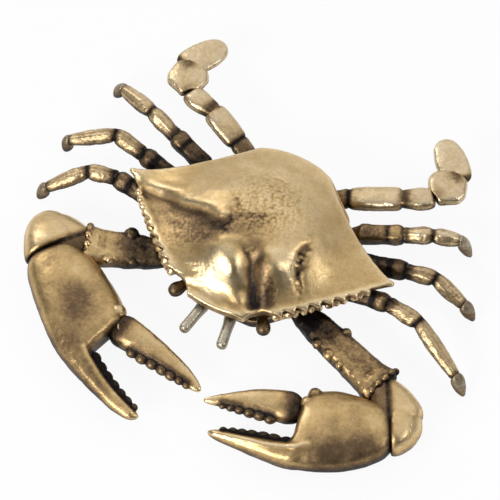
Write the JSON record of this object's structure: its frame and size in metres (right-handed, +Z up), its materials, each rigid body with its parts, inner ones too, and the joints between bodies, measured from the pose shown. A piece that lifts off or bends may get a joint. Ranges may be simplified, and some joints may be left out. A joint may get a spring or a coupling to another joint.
{
  "type": "articulated crab figurine",
  "caption": "Antiqued brass swimming crab ornament with a domed, spined shell; its claws, walking legs and paddle legs turn on hidden pins and it rests on its flat belly.",
  "frame": {"origin": "middle of the flat belly, on the floor", "axes": "+Z up out of the shell, -Y the way the crab faces, +X the crab's left side"},
  "size_m": [0.0972, 0.0857, 0.0193],
  "materials": {
    "brass": "antiqued, rubbed bright on the high places",
    "tips": "antiqued, pale",
    "underside": "dark patina",
    "pins": "dull"
  },
  "bodies": {
    "thorax": {"sternum": "underside", "abdomen_flap": "underside", "thorax_frame": "underside", "hip_pins": "pins", "carapace": "brass", "shell_screws": "pins", "face_plate": "underside", "eyes": "brass", "antennae": "tips", "mouth_plates": "underside"},
    "right_claw_arm": {"right_claw_arm": "brass", "right_claw_elbow_pin": "pins"},
    "right_claw_carpus": {"right_claw_carpus": "brass"},
    "right_claw_palm": {"right_claw_palm": "brass", "right_claw_wrist_pin": "pins", "right_claw_finger_pin": "pins"},
    "right_claw_finger": {"right_claw_finger": "brass"},
    "right_leg_1_thigh": {"right_leg_1_thigh": "brass", "right_leg_1_knee_pin": "pins"},
    "right_leg_1_shin": {"right_leg_1_shin": "brass", "right_leg_1_toe": "tips"},
    "right_leg_2_thigh": {"right_leg_2_thigh": "brass", "right_leg_2_knee_pin": "pins"},
    "right_leg_2_shin": {"right_leg_2_shin": "brass", "right_leg_2_toe": "tips"},
    "right_leg_3_thigh": {"right_leg_3_thigh": "brass", "right_leg_3_knee_pin": "pins"},
    "right_leg_3_shin": {"right_leg_3_shin": "brass", "right_leg_3_toe": "tips"},
    "right_swimmer_thigh": {"right_swimmer_thigh": "brass", "right_swimmer_knee_pin": "pins"},
    "right_swimmer_carpus": {"right_swimmer_carpus": "brass", "right_swimmer_plate": "brass", "right_swimmer_paddle_pin": "pins"},
    "right_swimmer_paddle": {"right_swimmer_paddle": "brass"},
    "left_claw_arm": {"left_claw_arm": "brass", "left_claw_elbow_pin": "pins"},
    "left_claw_carpus": {"left_claw_carpus": "brass"},
    "left_claw_palm": {"left_claw_palm": "brass", "left_claw_wrist_pin": "pins", "left_claw_finger_pin": "pins"},
    "left_claw_finger": {"left_claw_finger": "brass"},
    "left_leg_1_thigh": {"left_leg_1_thigh": "brass", "left_leg_1_knee_pin": "pins"},
    "left_leg_1_shin": {"left_leg_1_shin": "brass", "left_leg_1_toe": "tips"},
    "left_leg_2_thigh": {"left_leg_2_thigh": "brass", "left_leg_2_knee_pin": "pins"},
    "left_leg_2_shin": {"left_leg_2_shin": "brass", "left_leg_2_toe": "tips"},
    "left_leg_3_thigh": {"left_leg_3_thigh": "brass", "left_leg_3_knee_pin": "pins"},
    "left_leg_3_shin": {"left_leg_3_shin": "brass", "left_leg_3_toe": "tips"},
    "left_swimmer_thigh": {"left_swimmer_thigh": "brass", "left_swimmer_knee_pin": "pins"},
    "left_swimmer_carpus": {"left_swimmer_carpus": "brass", "left_swimmer_plate": "brass", "left_swimmer_paddle_pin": "pins"},
    "left_swimmer_paddle": {"left_swimmer_paddle": "brass"}
  },
  "joints": [
    {"name": "right_claw_shoulder", "type": "hinge", "parent": "thorax", "child": "right_claw_arm", "pos_m": [-0.01, -0.0095, 0.00482], "axis": [0, 0, -1], "range_deg": [0, 10]},
    {"name": "right_claw_elbow", "type": "hinge", "parent": "right_claw_arm", "child": "right_claw_carpus", "pos_m": [-0.0302, -0.01685, 0.00482], "axis": [0, 0, -1], "range_deg": [0, 45]},
    {"name": "right_claw_wrist", "type": "hinge", "parent": "right_claw_carpus", "child": "right_claw_palm", "pos_m": [-0.03071, -0.02595, 0.00482], "axis": [0, 0, -1], "range_deg": [0, 25]},
    {"name": "right_claw_finger", "type": "hinge", "parent": "right_claw_palm", "child": "right_claw_finger", "pos_m": [-0.01553, -0.03121, 0.00482], "axis": [0, 0, 1], "range_deg": [-20, 8]},
    {"name": "right_leg_1_hip", "type": "hinge", "parent": "thorax", "child": "right_leg_1_thigh", "pos_m": [-0.013, -0.0036, 0.00482], "axis": [0, 0, -1], "range_deg": [-8, 8]},
    {"name": "right_leg_1_knee", "type": "hinge", "parent": "right_leg_1_thigh", "child": "right_leg_1_shin", "pos_m": [-0.03213, -0.00209, 0.00769], "axis": [0.0757, -0.5813, 0.8102], "range_deg": [-35, 0]},
    {"name": "right_leg_2_hip", "type": "hinge", "parent": "thorax", "child": "right_leg_2_thigh", "pos_m": [-0.0136, 0.002, 0.00482], "axis": [0, 0, -1], "range_deg": [-8, 8]},
    {"name": "right_leg_2_knee", "type": "hinge", "parent": "right_leg_2_thigh", "child": "right_leg_2_shin", "pos_m": [-0.02985, 0.00545, 0.0073], "axis": [-0.0141, -0.6264, 0.7794], "range_deg": [-35, 0]},
    {"name": "right_leg_3_hip", "type": "hinge", "parent": "thorax", "child": "right_leg_3_thigh", "pos_m": [-0.0124, 0.0074, 0.00482], "axis": [0, 0, -1], "range_deg": [-8, 8]},
    {"name": "right_leg_3_knee", "type": "hinge", "parent": "right_leg_3_thigh", "child": "right_leg_3_shin", "pos_m": [-0.02606, 0.01237, 0.00699], "axis": [-0.342, -0.9397, 0], "range_deg": [-35, 0]},
    {"name": "right_swimmer_hip", "type": "hinge", "parent": "thorax", "child": "right_swimmer_thigh", "pos_m": [-0.006, 0.0132, 0.00482], "axis": [0, 0, -1], "range_deg": [0, 15]},
    {"name": "right_swimmer_knee", "type": "hinge", "parent": "right_swimmer_thigh", "child": "right_swimmer_carpus", "pos_m": [-0.02171, 0.02053, 0.00788], "axis": [0, 0, -1], "range_deg": [-20, 20]},
    {"name": "right_swimmer_paddle", "type": "hinge", "parent": "right_swimmer_carpus", "child": "right_swimmer_paddle", "pos_m": [-0.03094, 0.02792, 0.00788], "axis": [0, 0, -1], "range_deg": [-35, 0]},
    {"name": "left_claw_shoulder", "type": "hinge", "parent": "thorax", "child": "left_claw_arm", "pos_m": [0.01, -0.0095, 0.00482], "axis": [0, 0, 1], "range_deg": [0, 10]},
    {"name": "left_claw_elbow", "type": "hinge", "parent": "left_claw_arm", "child": "left_claw_carpus", "pos_m": [0.03529, -0.01896, 0.00482], "axis": [0, 0, 1], "range_deg": [0, 40]},
    {"name": "left_claw_wrist", "type": "hinge", "parent": "left_claw_carpus", "child": "left_claw_palm", "pos_m": [0.03595, -0.0293, 0.00482], "axis": [0, 0, 1], "range_deg": [0, 25]},
    {"name": "left_claw_finger", "type": "hinge", "parent": "left_claw_palm", "child": "left_claw_finger", "pos_m": [0.02221, -0.03149, 0.00482], "axis": [0, 0, -1], "range_deg": [-10, 0]},
    {"name": "left_leg_1_hip", "type": "hinge", "parent": "thorax", "child": "left_leg_1_thigh", "pos_m": [0.013, -0.0036, 0.00482], "axis": [0, 0, 1], "range_deg": [-8, 8]},
    {"name": "left_leg_1_knee", "type": "hinge", "parent": "left_leg_1_thigh", "child": "left_leg_1_shin", "pos_m": [0.03001, -0.0033, 0.00736], "axis": [0.1093, 0.5898, -0.8001], "range_deg": [-35, 0]},
    {"name": "left_leg_2_hip", "type": "hinge", "parent": "thorax", "child": "left_leg_2_thigh", "pos_m": [0.0136, 0.002, 0.00482], "axis": [0, 0, 1], "range_deg": [-8, 8]},
    {"name": "left_leg_2_knee", "type": "hinge", "parent": "left_leg_2_thigh", "child": "left_leg_2_shin", "pos_m": [0.02992, 0.00511, 0.0073], "axis": [-0.0858, 0.8562, -0.5094], "range_deg": [-35, 0]},
    {"name": "left_leg_3_hip", "type": "hinge", "parent": "thorax", "child": "left_leg_3_thigh", "pos_m": [0.0124, 0.0074, 0.00482], "axis": [0, 0, 1], "range_deg": [-8, 8]},
    {"name": "left_leg_3_knee", "type": "hinge", "parent": "left_leg_3_thigh", "child": "left_leg_3_shin", "pos_m": [0.02583, 0.01242, 0.00696], "axis": [-0.3502, 0.9367, 0], "range_deg": [-35, 0]},
    {"name": "left_swimmer_hip", "type": "hinge", "parent": "thorax", "child": "left_swimmer_thigh", "pos_m": [0.006, 0.0132, 0.00482], "axis": [0, 0, 1], "range_deg": [0, 15]},
    {"name": "left_swimmer_knee", "type": "hinge", "parent": "left_swimmer_thigh", "child": "left_swimmer_carpus", "pos_m": [0.02223, 0.01927, 0.00788], "axis": [0, 0, 1], "range_deg": [-20, 20]},
    {"name": "left_swimmer_paddle", "type": "hinge", "parent": "left_swimmer_carpus", "child": "left_swimmer_paddle", "pos_m": [0.02975, 0.02859, 0.00788], "axis": [0, 0, 1], "range_deg": [-35, 0]}
  ]
}
